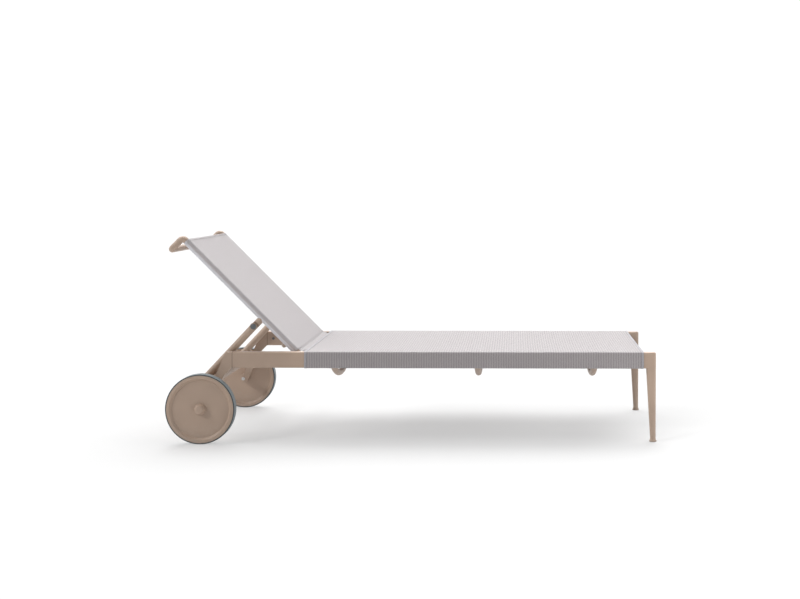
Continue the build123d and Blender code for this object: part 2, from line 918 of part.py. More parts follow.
pivot_bush = ring_y(
    pivot_x,
    pivot_z,
    pivot_bush_radius,
    pivot_pin_radius + running_clearance,
    eye_inner - lap_gap / 2,
    eye_outer,
)
save("stay_bushes", both_sides(pivot_bush))

head_base = eye_outer + pivot_head_gap
head_face = head_base + pivot_head_height
pivot_head = rod_y(pivot_x, pivot_z, pivot_head_radius, head_base, head_face)
pivot_head = fillet(pivot_head.edges().group_by(Axis.Y)[-1], pivot_head_round)
pivot_slot = Box(pivot_slot_length, 2 * pivot_slot_depth, pivot_slot_width)
pivot_slots = pivot_slot + Rot(0, 90, 0) * pivot_slot
pivot_head -= Pos(pivot_x, head_face, pivot_z) * pivot_slots
pivot_shank = rod_y(pivot_x, pivot_z, pivot_pin_radius, lug_inner + overlap, head_base)
pivot_screw = pivot_head + pivot_shank
save("stay_pivot_screws", both_sides(pivot_screw))

stay_points = [
    (stay_tube_start, -back_tube_y, 0),
    (stay_length, -back_tube_y, 0),
    (stay_length, back_tube_y, 0),
    (stay_tube_start, back_tube_y, 0),
]
save("stay_frame", stay * tube(stay_points, stay_bend_radius, stay_tube_diameter, stay_tube_wall))

first_tooth = raised_contact - comb_pitch / 2
last_tooth = first_tooth + comb_notches * comb_pitch
comb_reach = comb_tooth_width / 2 + comb_end_margin
comb = Pos((first_tooth + last_tooth) / 2, -back_tube_y, -comb_depth / 2) * Box(
    last_tooth - first_tooth + 2 * comb_reach, comb_width, comb_depth
)
for tooth in range(comb_notches + 1):
    comb += Pos(
        first_tooth + tooth * comb_pitch, -back_tube_y, -comb_depth - comb_tooth_height / 2
    ) * Box(comb_tooth_width, comb_width, comb_tooth_height)
comb -= bent(stay_points, stay_bend_radius, Circle(stay_r + weld_gap))
comb = comb.solids().sort_by(SortBy.VOLUME)[-1]
save_pair("stay_comb", stay * comb)


# ---------------------------------------------------------------- stops for the flat position
sleeve_r = back_r + sling_clearance + sling_thickness
stop_top = hinge_height - sleeve_r - stop_clearance
stop_x = x_at(hinge_station + stop_along)
stop_inner = back_tube_y - stop_overhang
recline_stop = box_between(
    (stop_x - stop_length / 2, stop_x + stop_length / 2),
    (stop_inner, inner_face),
    (stop_top - stop_pad_thickness - stop_height, stop_top - stop_pad_thickness),
)
stop_corners = recline_stop.edges().filter_by(Axis.Z).group_by(Axis.Y)[0]
recline_stop = fillet(stop_corners, stop_corner_radius)
pad_half_length = stop_length / 2 - stop_pad_end_margin
stop_pad = box_between(
    (stop_x - pad_half_length, stop_x + pad_half_length),
    (stop_inner + stop_pad_side_margin, inner_face - stop_pad_side_margin),
    (stop_top - stop_pad_thickness, stop_top),
)
save("recline_stops", both_sides(recline_stop))
save("stop_pads", both_sides(stop_pad))


# ---------------------------------------------------------------- slings
def seat_sling_section():
    """Sheet over both rails, down their outer faces and round a keder in each groove."""
    gap = sling_clearance
    outer = half_width + gap + sling_thickness
    top = rail_top + gap + sling_thickness
    bottom = rail_bottom - gap - sling_thickness
    groove_z = rail_bottom + groove_block / 2
    sheet = Pos(0, top - sling_thickness / 2) * Rectangle(2 * outer, sling_thickness)
    for side in (-1, 1):
        wall_y = side * (outer - sling_thickness / 2)
        sheet += Pos(wall_y, (top + bottom) / 2) * Rectangle(sling_thickness, top - bottom)
        under_middle = (outer + rail_middle - sling_thickness / 2) / 2
        under_width = outer - rail_middle + sling_thickness / 2
        sheet += Pos(side * under_middle, bottom + sling_thickness / 2) * Rectangle(
            under_width, sling_thickness
        )
        stem_height = groove_z - keder_radius - bottom
        sheet += Pos(side * rail_middle, bottom + stem_height / 2) * Rectangle(
            sling_thickness, stem_height
        )
        sheet += Pos(side * rail_middle, groove_z) * Circle(keder_radius + sling_thickness)
        sheet -= Pos(side * rail_middle, groove_z) * Circle(keder_radius)
    return sheet


sling_start = leg_block_length + seat_sling_gap
seat_sling = along_rail(seat_sling_section(), sling_start, sling_head_edge)
save("seat_sling", seat_sling)

keder = rod_x(
    keder_radius - keder_clearance,
    x_at(sling_head_edge - keder_end_inset),
    x_at(sling_start + keder_end_inset),
    rail_middle,
)
save("keder_rods", both_sides(Pos(0, 0, rail_bottom + groove_block / 2) * keder))


def back_sling_section():
    """Sheet between the side tubes with a sewn sleeve round each of them."""
    inner_r = back_r + sling_clearance
    sheet = Pos(0, sleeve_r - sling_thickness / 2) * Rectangle(2 * back_tube_y, sling_thickness)
    for side in (-1, 1):
        sheet += Pos(side * back_tube_y, 0) * Circle(sleeve_r)
    for side in (-1, 1):
        sheet -= Pos(side * back_tube_y, 0) * Circle(inner_r)
    return sheet


back_sling = extrude(
    Pos(back_sling_start, 0, 0) * (Plane.YZ * back_sling_section()), amount=back_sling_length
)
for side in (-1, 1):
    back_sling -= Pos(stay_pivot_along, side * back_tube_y, -sleeve_r) * Box(
        2 * (lug_neck_radius + slot_margin), 2 * (sleeve_r + overlap), 2 * sleeve_r
    )
    back_sling -= Pos(brace_along, side * (back_tube_y - sleeve_r), 0) * Box(
        brace_diameter + 2 * slot_margin, 2 * back_r, brace_diameter + 2 * slot_margin
    )
save("backrest_sling", backrest * back_sling)

print("relative stay ratio", -(1 + (stay_slope - flat_slope) / backrest_angle))
print("hinge", x_at(hinge_station), hinge_height, "pivot", pivot_x, pivot_z)
print("slope", stay_slope, "flat", flat_slope, "contact", raised_contact, flat_contact)
print("axle", axle_x, axle_z, "foot face", foot_face_x)
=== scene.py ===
"""Looks of the reclining sun lounger: taut mesh slings, powder-coated frame, wheels and fixings,
on a pale floor under a soft overhead light. Metres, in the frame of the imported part: +X to the
foot end, +Y to the user's left, +Z up.
"""

import json

import bpy
import numpy as np
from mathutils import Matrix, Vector


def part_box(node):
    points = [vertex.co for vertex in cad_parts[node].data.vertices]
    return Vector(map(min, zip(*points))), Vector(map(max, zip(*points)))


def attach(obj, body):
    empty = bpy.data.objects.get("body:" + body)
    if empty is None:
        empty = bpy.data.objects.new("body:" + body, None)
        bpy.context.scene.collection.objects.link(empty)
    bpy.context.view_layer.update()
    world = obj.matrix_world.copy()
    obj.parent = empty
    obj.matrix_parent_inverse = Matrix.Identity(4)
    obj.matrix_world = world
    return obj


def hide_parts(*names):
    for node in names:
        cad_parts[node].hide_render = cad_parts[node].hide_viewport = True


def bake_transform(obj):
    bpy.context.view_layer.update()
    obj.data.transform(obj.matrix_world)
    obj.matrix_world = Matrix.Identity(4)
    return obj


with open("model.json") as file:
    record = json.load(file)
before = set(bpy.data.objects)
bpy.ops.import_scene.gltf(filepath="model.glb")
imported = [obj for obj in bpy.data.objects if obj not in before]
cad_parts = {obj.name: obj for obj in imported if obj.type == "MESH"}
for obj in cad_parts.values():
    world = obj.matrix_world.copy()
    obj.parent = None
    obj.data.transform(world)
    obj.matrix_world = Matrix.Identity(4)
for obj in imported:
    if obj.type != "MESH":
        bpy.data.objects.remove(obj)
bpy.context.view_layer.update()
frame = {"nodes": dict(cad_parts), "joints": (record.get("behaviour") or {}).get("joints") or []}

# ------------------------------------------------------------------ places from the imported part
rail_low, rail_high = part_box("side_rail_left")
sling_low, sling_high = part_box("seat_sling")
knuckle_low, knuckle_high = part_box("backrest_knuckle_left")
hinge = next(j for j in frame["joints"] if j["name"] == "backrest_recline")["pos_m"]
hinge_x, hinge_z = hinge[0], hinge[2]
tube_y = (knuckle_low.y + knuckle_high.y) / 2
tube_r = 0.0125  # radius of the backrest's side tubes
foot_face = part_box("leg_left")[1].x
tyre_low, tyre_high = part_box("tyre_left")
axle_x, axle_z = (tyre_low.x + tyre_high.x) / 2, (tyre_low.z + tyre_high.z) / 2
wheel_r = (tyre_high.z - tyre_low.z) / 2
rail_run = 1.6196  # from the foot end's face to the joint with the wheel brackets
bracket_seam = foot_face - rail_run
rail_corner = 0.003  # radius of the rails' corners

# Cloth and its fit
cloth = 0.0011  # thickness of the mesh
clear = 0.0008  # middle of the cloth over the metal
cloth_bend = 0.0038  # radius of the cloth round the rails' outer corners
groove_rise = 0.005  # of the cloth, up into the groove under a rail
seat_sag = 0.0035
seat_end_share, seat_end_run = 0.35, 0.12  # of the sag at the seat's ends, and its growth
back_sag = 0.0030
back_end_share, back_end_run = 0.45, 0.10
backrest_angle = np.radians(45.0)
back_start, back_end = 0.016, 0.617  # of the backrest's cloth, up its tubes from the hinge

# Sleeves round the backrest's tubes
wrap_end = -150.0  # degrees round the tube, where the sleeve leaves it
sleeve_run = 0.007  # from the tube to the seam
sleeve_drop = 0.0022  # of the seam under the cloth's level
tail_run, tail_drop = 0.006, 0.0018  # of the seam's allowance, past the seam and under the level
sleeve_edge = tube_y + 1.65 * tube_r  # across the cloth, where the paler band starts: painted light on the sleeves' side that faces the floor
sleeve_soft = 0.0015  # half the width of its edge

# Crease cloth at the hinge
crease_round = 0.0035  # from the crease to where its small arc starts and ends
crease_sag = 0.0006
crease_gap = 0.0005  # from the seat sling's edge
crease_lap = 0.006  # over the backrest's cloth
crease_inset = 0.002  # from the rails' outer faces
tube_lap = 0.004  # past the middle of the backrest's tubes
corner_cut = 0.0095  # run over which the cloth narrows from the rails to the tubes
corner_dip = 0.012  # of the cloth's corners, between the seat's edge and the tubes' ends
dip_from, dip_run = 0.245, 0.035  # from the middle, where the corners' dip starts and grows
dip_edge, dip_edge_run = 0.001, 0.004  # from the rails' inner faces, where it ends

# Hems and joints
hem_width = 0.009
hem_inset = 0.0004  # from the cloth's end
hem_lift = 0.9 * cloth  # of the second layer over the first
hem_cloth = 0.7 * cloth
seam_width, seam_proud = 0.0016, 0.00025

# Light
front_light, back_light = 0.05, 0.90
floor_tone, floor_glow = 0.35, 0.41

up_back = np.array([-np.cos(backrest_angle), 0.0, np.sin(backrest_angle)])
out_back = np.array([np.sin(backrest_angle), 0.0, np.cos(backrest_angle)])


# ------------------------------------------------------------------ meshes
def surface(name, points, uv=None, closed_u=False):
    """Mesh of a grid of points with shape (rows, columns, 3).

    Row i and column j join to row i+1 and column j+1; closed_u also joins the last column to the
    first. The corner points' uv, in metres, go to the map named "weave".
    """
    rows, columns = points.shape[:2]
    index = np.arange(rows * columns).reshape(rows, columns)
    if closed_u:
        index = np.concatenate([index, index[:, :1]], axis=1)
    quads = np.stack([index[:-1, :-1], index[:-1, 1:], index[1:, 1:], index[1:, :-1]], axis=-1)
    mesh = bpy.data.meshes.new(name)
    mesh.from_pydata(points.reshape(-1, 3).tolist(), [], quads.reshape(-1, 4).tolist())
    if uv is not None:
        layer = mesh.uv_layers.new(name="weave")
        corners = np.zeros(len(mesh.loops), np.int32)
        mesh.loops.foreach_get("vertex_index", corners)
        layer.data.foreach_set("uv", uv.reshape(-1, 2)[corners].astype(np.float32).ravel())
    mesh.polygons.foreach_set("use_smooth", np.ones(len(mesh.polygons), bool))
    mesh.update()
    piece = bpy.data.objects.new(name, mesh)
    bpy.context.scene.collection.objects.link(piece)
    return piece


def thicken(piece, thickness):
    """Give a sheet its thickness, half on each side."""
    wall = piece.modifiers.new("thickness", "SOLIDIFY")
    wall.thickness = thickness
    wall.offset = 0.0
    return piece


def line(a, b, n):
    """n points evenly from a to b, without b."""
    t = np.linspace(0, 1, n, endpoint=False)[:, None]
    return np.asarray(a, float) * (1 - t) + np.asarray(b, float) * t


def arc(centre, radius, start, end, n):
    """n points round a centre from a start angle to an end angle in degrees, without the end."""
    t = np.radians(np.linspace(start, end, n, endpoint=False))
    return np.stack([centre[0] + radius * np.cos(t), centre[1] + radius * np.sin(t)], axis=1)


def along(path):
    """Distance of each point of a path from its first."""
    steps = np.linalg.norm(np.diff(path, axis=0), axis=1)
    return np.concatenate([[0.0], np.cumsum(steps)])


def spread(*values):
    """Grid of points or uv from one array for each coordinate, spread to one shape."""
    return np.stack(np.broadcast_arrays(*values), axis=-1).astype(float)


def smooth(share):
    """Smooth step of a share s from 0 to 1: s^2 (3 - 2 s), level at both ends."""
    return share * share * (3 - 2 * share)


def eased(from_end, end_share, end_run):
    """Share of a sag at a distance from a cloth's end: end_share there, towards 1 further in."""
    return end_share + (1 - end_share) * (1 - np.exp(-from_end / end_run))


# ------------------------------------------------------------------ seat sling
def seat_section():
    """Half of the sling's (Y, Z) section, from the middle of the seat to the keder groove.

    The cloth lies level over the rail, turns down its outer face on a small arc, and turns in
    under the rail to the groove.
    """
    outer, top = rail_high.y + clear, rail_high.z + clear
    bottom = rail_low.z - clear
    bend = cloth_bend
    groove = (rail_low.y + rail_high.y) / 2
    return np.concatenate(
        [
            line((0.0, top), (rail_low.y, top), 40),
            line((rail_low.y, top), (outer - bend, top), 6),
            arc((outer - bend, top - bend), bend, 90, 0, 6),
            line((outer, top - bend), (outer, bottom + bend), 12),
            arc((outer - bend, bottom + bend), bend, 0, -90, 6),
            line((outer - bend, bottom), (groove, bottom), 4),
            line((groove, bottom), (groove, bottom + groove_rise), 3),
        ]
    )


def whole(half):
    """A half section and its mirror image, from the right side to the left."""
    return np.concatenate([half[::-1] * [-1, 1], half[1:]])


def outwards(section):
    """Unit normals of a section that runs from the right side to the left, away from the seat."""
    run = np.gradient(section, axis=0)
    normals = np.stack([-run[:, 1], run[:, 0]], axis=1)
    return normals / np.linalg.norm(normals, axis=1, keepdims=True)


def dip(y, reach):
    """Share of a sag at a distance from the middle.

    1 in the middle and 0 at the reach, level at both: the smooth step of 1 - (y / reach)^2.
    """
    return smooth(np.clip(1 - (y / reach) ** 2, 0, 1))


def make_seat_sling():
    """Section carried along X; between the rails it sags a little, less by the two hems."""
    section = whole(seat_section())
    y, z = section.T
    x = np.linspace(sling_high.x, sling_low.x, 180)[:, None]
    share = eased(np.minimum(x - sling_low.x, sling_high.x - x), seat_end_share, seat_end_run)
    sag = seat_sag * dip(y, rail_low.y) * (z > rail_high.z)
    across = along(section)
    uv = spread(x, across - across[-1] / 2)
    return surface("seat_sling_cloth", spread(x, y, z - share * sag), uv), section, across[-1]


def make_seat_hem(name, section, x_from, x_to):
    """Narrow second layer along an end of the sling, a cloth's thickness outside the first."""
    keep = slice(4, -4)  # without the turns up into the grooves
    outside = (section + outwards(section) * hem_lift)[keep]
    y, z = section[keep].T
    x = np.linspace(x_from, x_to, 6)[:, None]
    sag = seat_sag * seat_end_share * dip(y, rail_low.y) * (z > rail_high.z)
    points = spread(x, outside[:, 0], outside[:, 1] - sag)
    return surface(name, points, spread(x, along(outside)))


# ------------------------------------------------------------------ backrest sling
def back_section():
    """Half of the backrest cloth's (Y, height) section about the tube's middle line.

    Level from the middle to the tube's crest, round the tube's outer side, and back up its
    inner side to a seam under the cloth.
    """
    radius = tube_r + clear
    seam = tube_y - tube_r - sleeve_run
    lower = arc((tube_y, 0.0), radius, 90, wrap_end, 34)
    return np.concatenate(
        [
            line((0.0, radius), (tube_y, radius), 44),
            lower,
            line(lower[-1], (seam, radius - sleeve_drop), 6),
            [(seam, radius - sleeve_drop), (seam - tail_run, radius - tail_drop)],
        ]
    )


def place_back(s, y, height):
    """World points at distances up the backrest, across it, and out of its lying side."""
    base = np.array([hinge_x, 0.0, hinge_z])
    s, y, height = (values[..., None] for values in np.broadcast_arrays(s, y, height))
    return base + s * up_back + height * out_back + y * np.array([0.0, 1.0, 0.0])


def make_back_sling():
    """Section carried up the backrest, with a slight hollow between the tubes."""
    section = whole(back_section())
    y, height = section.T
    s = np.linspace(back_start, back_end, 110)[:, None]
    share = eased(np.minimum(s - back_start, back_end - s), back_end_share, back_end_run)
    on_top = height > tube_r + clear - 1e-6
    points = place_back(s, y, height - share * back_sag * dip(y, tube_y) * on_top)
    across = along(section)
    uv = spread(across - across[-1] / 2, s)
    return surface("backrest_sling_cloth", points, uv), across[-1]


def make_back_hem(name, s_from, s_to):
    """Narrow second layer over the backrest cloth's end, on its lying side and round its tubes."""
    section = whole(back_section())[8:-8]  # without the sleeves' seams
    section = section + outwards(section) * hem_lift
    y, height = section.T
    s = np.linspace(s_from, s_to, 6)[:, None]
    points = place_back(
        s, y, height - back_sag * back_end_share * dip(y, tube_y) * (height > tube_r)
    )
    across = along(section)
    return surface(name, points, spread(across - across[-1] / 2, s))


def make_crease_cloth():
    """Cloth that crosses the hinge, from the seat's head edge up to the backrest's sleeves.

    A profile of a level run, a small arc and a run up the backrest's plane is carried across the
    seat. Its half width narrows from the rails' outer edges to the tubes in the first few
    millimetres, which leaves the two corners cut away.
    """
    radius = tube_r + clear
    level = rail_high.z + clear
    start = np.array([sling_low.x + crease_gap, level])
    base = np.array([hinge_x, hinge_z])
    up, out = up_back[[0, 2]], out_back[[0, 2]]
    crease = base + (level - hinge_z - radius * out[1]) / up[1] * up + radius * out
    top = base + (back_start + crease_lap) * up + radius * out
    before = crease + (start - crease) / np.linalg.norm(start - crease) * crease_round
    after = crease + (top - crease) / np.linalg.norm(top - crease) * crease_round
    t = np.linspace(0, 1, 12)[:, None]
    turn = (1 - t) ** 2 * before + 2 * t * (1 - t) * crease + t**2 * after
    profile = np.concatenate([line(start, before, 13), turn, line(top, after, 5)[::-1]])
    x, z = profile[:, :1], profile[:, 1:]
    run = along(profile)[:, None]
    widest, narrowest = rail_high.y - crease_inset, tube_y + tube_lap
    half = widest - (widest - narrowest) * smooth(np.clip(run / corner_cut, 0, 1))
    y = half * np.linspace(-1, 1, 161)
    sag = crease_sag * np.sin(np.pi * run / run[-1]) + seat_sag * seat_end_share
    bay = np.sin(np.pi * np.clip(run / (start[0] - hinge_x - tube_r), 0, 1)) ** 2
    side = np.clip((np.abs(y) - dip_from) / dip_run, 0, 1)
    side *= np.clip((rail_low.y - dip_edge - np.abs(y)) / dip_edge_run, 0, 1)
    z = z - sag * dip(y, rail_low.y) - corner_dip * bay * smooth(side)
    return surface("crease_cloth", spread(x, y, z), spread(y, -run)), start, top, run[-1, 0]


def make_rail_seam(name, x, side):
    """Dark ring round a rail where a casting meets it: painted shade for the shadow in that seam.

    A rounded rectangle of the rail's section is carried along X over the gap's width in four
    rows: flush, proud, proud and flush.
    """
    faces = (side * (rail_low.y - seam_proud), side * (rail_high.y + seam_proud))
    y_low, y_high = min(faces), max(faces)
    z_low, z_high = rail_low.z - seam_proud, rail_high.z + seam_proud
    r = rail_corner
    ring = np.concatenate(
        [
            arc((y_high - r, z_high - r), r, 0, 90, 6),
            arc((y_low + r, z_high - r), r, 90, 180, 6),
            arc((y_low + r, z_low + r), r, 180, 270, 6),
            arc((y_high - r, z_low + r), r, 270, 360, 6),
        ]
    )
    proud = np.array([0.0, 1.0, 1.0, 0.0])[:, None]
    row_x = (x + seam_width * np.array([0.5, 0.4, -0.4, -0.5]))[:, None]
    centre = np.array([(y_low + y_high) / 2, (z_low + z_high) / 2])
    flush = centre + (ring - centre) * (1 - 2 * seam_proud / (z_high - z_low))
    y, z = (flush[:, i] + (ring - flush)[:, i] * proud for i in (0, 1))
    return surface(name, spread(row_x, y, z), closed_u=True)


# ------------------------------------------------------------------ colours and pitches
taupe = (0.418, 0.309, 0.238)  # of the powder coat
rib_colour = (0.62, 0.565, 0.56)
# painted light: pale bluish colour on the backrest sleeves' side that faces the floor; the crease
# cloth takes it past the rails' inner faces
paler_band_colour = (0.80, 0.79, 0.84)
paint_dust, rubber_dust = (0.50, 0.46, 0.41), (0.36, 0.33, 0.29)
thread_pitch, hem_pitch = 0.0026, 0.0016
seat_rib_pitch, back_rib_pitch = 0.0095, 0.022
rib_wander = 2.4  # radians of phase
gap_shade = 0.55  # share of the weft's colour for the painted shade in the gaps between threads
gap_share, uneven_share, paler_band_share = 0.55, 0.16, 0.6  # how far each effect is mixed in
tread_line_pitch = 0.0022
scuff_depth, scuff_end = 0.0012, 0.0002  # of the tread's scuffs, under and over its radius


# ------------------------------------------------------------------ shared node groups
def node_group(name, inputs, outputs):
    """Empty shader group with named sockets; the inputs are given with their defaults."""
    group = bpy.data.node_groups.new(name, "ShaderNodeTree")
    for label, default in inputs.items():
        kind = "NodeSocketVector" if default is None else "NodeSocketFloat"
        socket = group.interface.new_socket(label, in_out="INPUT", socket_type=kind)
        if default is not None:
            socket.default_value = default
    for label in outputs:
        group.interface.new_socket(label, in_out="OUTPUT", socket_type="NodeSocketFloat")
    return group, group.nodes.new("NodeGroupInput"), group.nodes.new("NodeGroupOutput")


def feed(tree, value, socket):
    """Link a socket to an input, or set the input to a number, vector or colour."""
    if isinstance(value, bpy.types.NodeSocket):
        tree.links.new(value, socket)
    else:
        socket.default_value = value


def maths(tree, operation, *values, clamp=False):
    """Math node; each value is a socket to link or a number to set."""
    node = tree.nodes.new("ShaderNodeMath")
    node.operation, node.use_clamp = operation, clamp
    for socket, value in zip(node.inputs, values):
        feed(tree, value, socket)
    return node.outputs[0]


def parts(tree, vector):
    """X, Y and Z of a vector."""
    node = tree.nodes.new("ShaderNodeSeparateXYZ")
    tree.links.new(vector, node.inputs[0])
    return node.outputs


def noise(tree, vector, scale, detail=2.0, roughness=0.5):
    """Noise value over a vector."""
    node = tree.nodes.new("ShaderNodeTexNoise")
    tree.links.new(vector, node.inputs["Vector"])
    feed(tree, scale, node.inputs["Scale"])
    node.inputs["Detail"].default_value = detail
    node.inputs["Roughness"].default_value = roughness
    return node.outputs["Fac"]


def between(tree, value, low, high, to_low=0.0, to_high=1.0):
    """Smooth step of a value from low to high."""
    node = tree.nodes.new("ShaderNodeMapRange")
    node.interpolation_type = "SMOOTHSTEP"
    tree.links.new(value, node.inputs["Value"])
    labels = ("From Min", "From Max", "To Min", "To Max")
    for label, number in zip(labels, (low, high, to_low, to_high)):
        node.inputs[label].default_value = number
    return node.outputs["Result"]


def blend_colours(tree, share, first, second):
    """Mix of two colours or colour sockets by a share."""
    node = tree.nodes.new("ShaderNodeMix")
    node.data_type = "RGBA"
    tree.links.new(share, node.inputs["Factor"])
    for socket, value in ((node.inputs[6], first), (node.inputs[7], second)):
        feed(tree, (*value, 1) if isinstance(value, tuple) else value, socket)
    return node.outputs[2]


def scaled(colour, share):
    """A colour times a share, up to white."""
    return tuple(min(1.0, share * c) for c in colour)


def weave_group():
    """Plain weave of coated threads: thread heights, which thread is on top, and uneven ribs.

    Thread k of the warp is a half round |sin(pi u)| across its pitch, and is over the weft where
    the sum of the two thread numbers is even. A rib is a sine across the cloth whose phase
    wanders with the unevenness.
    """
    group, given, result = node_group(
        "coated_thread_weave",
        {"Weave": None, "Pitch": thread_pitch, "Rib pitch": seat_rib_pitch},
        ("Height", "Warp on top", "Rib", "Uneven"),
    )
    place = parts(group, given.outputs["Weave"])
    u = maths(group, "DIVIDE", place["X"], given.outputs["Pitch"])
    v = maths(group, "DIVIDE", place["Y"], given.outputs["Pitch"])
    numbers = maths(group, "ADD", maths(group, "FLOOR", u), maths(group, "FLOOR", v))
    over = maths(group, "FLOORED_MODULO", numbers, 2.0)
    warp = maths(group, "ABSOLUTE", maths(group, "SINE", maths(group, "MULTIPLY", u, np.pi)))
    weft = maths(group, "ABSOLUTE", maths(group, "SINE", maths(group, "MULTIPLY", v, np.pi)))
    under_height = 0.4  # of a thread that passes under, as a share of one on top
    rise = 1 - under_height
    warp_share = maths(group, "MULTIPLY_ADD", over, rise, under_height)
    weft_share = maths(group, "MULTIPLY_ADD", over, -rise, 1.0)
    warp_high = maths(group, "MULTIPLY", warp, warp_share)
    weft_high = maths(group, "MULTIPLY", weft, weft_share)
    group.links.new(maths(group, "MAXIMUM", warp_high, weft_high), result.inputs["Height"])
    group.links.new(over, result.inputs["Warp on top"])
    uneven = noise(group, given.outputs["Weave"], scale=38.0, detail=3.0)
    group.links.new(uneven, result.inputs["Uneven"])
    wander = maths(group, "MULTIPLY", uneven, rib_wander)
    turns = maths(group, "DIVIDE", place["X"], given.outputs["Rib pitch"])
    wave = maths(group, "SINE", maths(group, "MULTIPLY_ADD", turns, 2 * np.pi, wander))
    group.links.new(maths(group, "MULTIPLY_ADD", wave, 0.5, 0.5), result.inputs["Rib"])
    return group


def paler_band_group():
    """Paler band 1 past a distance from the middle line: painted light where sleeves face the
    floor.
    """
    group, given, result = node_group(
        "paler_band_mask", {"Weave": None, "Edge": sleeve_edge}, ("Paler",)
    )
    across = maths(group, "ABSOLUTE", parts(group, given.outputs["Weave"])["X"])
    past = maths(group, "SUBTRACT", across, given.outputs["Edge"])
    group.links.new(between(group, past, -sleeve_soft, sleeve_soft), result.inputs["Paler"])
    return group


def coat_group():
    """Powder coat: fine orange peel, slow change of tone and of gloss over the surface."""
    group, given, result = node_group(
        "powder_coat_skin",
        {"Place": None, "Grain": 900.0},
        ("Height", "Tone", "Gloss"),
    )
    place = given.outputs["Place"]
    fine = noise(group, place, given.outputs["Grain"], detail=3.0, roughness=0.6)
    broad = noise(group, place, scale=260.0)
    group.links.new(maths(group, "MULTIPLY_ADD", broad, 0.5, fine), result.inputs["Height"])
    group.links.new(noise(group, place, scale=5.0, detail=3.0), result.inputs["Tone"])
    group.links.new(noise(group, place, scale=60.0, detail=4.0), result.inputs["Gloss"])
    return group


def dust_group():
    """Dust that thins out with height over the floor, broken up by noise."""
    group, given, result = node_group("floor_dust", {"Place": None, "Reach": 0.06}, ("Dust",))
    place = given.outputs["Place"]
    low = maths(group, "DIVIDE", parts(group, place)["Z"], given.outputs["Reach"])
    low = maths(group, "SUBTRACT", 1.0, low, clamp=True)
    cloud = noise(group, place, scale=70.0, detail=5.0, roughness=0.65)
    patches = between(group, cloud, 0.35, 0.75)
    group.links.new(maths(group, "MULTIPLY", low, patches), result.inputs["Dust"])
    return group


def grain_group():
    """Spark-eroded grain of a moulded piece."""
    group, given, result = node_group(
        "moulded_grain", {"Place": None, "Fineness": 1400.0}, ("Grain",)
    )
    fine = noise(
        group, given.outputs["Place"], given.outputs["Fineness"], detail=3.0, roughness=0.6
    )
    group.links.new(fine, result.inputs["Grain"])
    return group


def turned_group():
    """Fine lines of a lathe: noise drawn out along Y, the axis of the fixings."""
    group, given, result = node_group("turned_lines", {"Place": None}, ("Lines",))
    stretch = group.nodes.new("ShaderNodeMapping")
    stretch.inputs["Scale"].default_value = (2600.0, 90.0, 2600.0)
    group.links.new(given.outputs["Place"], stretch.inputs["Vector"])
    lines = noise(group, stretch.outputs["Vector"], scale=1.0, detail=3.0, roughness=0.6)
    group.links.new(lines, result.inputs["Lines"])
    return group


def place_group(tree, group, **values):
    """Group node in a material, with its number inputs set and its vector linked."""
    node = tree.nodes.new("ShaderNodeGroup")
    node.node_tree = group
    for label, value in values.items():
        feed(tree, value, node.inputs[label.replace("_", " ")])
    return node


# ------------------------------------------------------------------ materials
def material(name, roughness, metallic=0.0, specular=0.5):
    """New node material with its shader's even values set, and its tree and shader."""
    made = bpy.data.materials.new(name)
    made.use_nodes = True
    shader = made.node_tree.nodes["Principled BSDF"]
    shader.inputs["Roughness"].default_value = roughness
    shader.inputs["Metallic"].default_value = metallic
    shader.inputs["Specular IOR Level"].default_value = specular
    return made, made.node_tree, shader


def on_piece(tree, centre=None):
    """Object coordinates of the piece, optionally from another centre."""
    coordinates = tree.nodes.new("ShaderNodeTexCoord").outputs["Object"]
    if centre is None:
        return coordinates
    shift = tree.nodes.new("ShaderNodeMapping")
    shift.inputs["Location"].default_value = [-c for c in centre]
    tree.links.new(coordinates, shift.inputs["Vector"])
    return shift.outputs["Vector"]


def bump(tree, shader, height, depth, strength=1.0):
    """Bump of a depth in metres on a shader."""
    node = tree.nodes.new("ShaderNodeBump")
    node.inputs["Strength"].default_value = strength
    node.inputs["Distance"].default_value = depth
    tree.links.new(height, node.inputs["Height"])
    tree.links.new(node.outputs["Normal"], shader.inputs["Normal"])


def dusted(tree, colour, reach, share, film_colour):
    """Colour with a share of floor dust over it, up to a reach over the floor."""
    film = place_group(tree, dust, Place=on_piece(tree), Reach=reach)
    cover = maths(tree, "MULTIPLY", film.outputs["Dust"], share)
    return blend_colours(tree, cover, colour, film_colour)


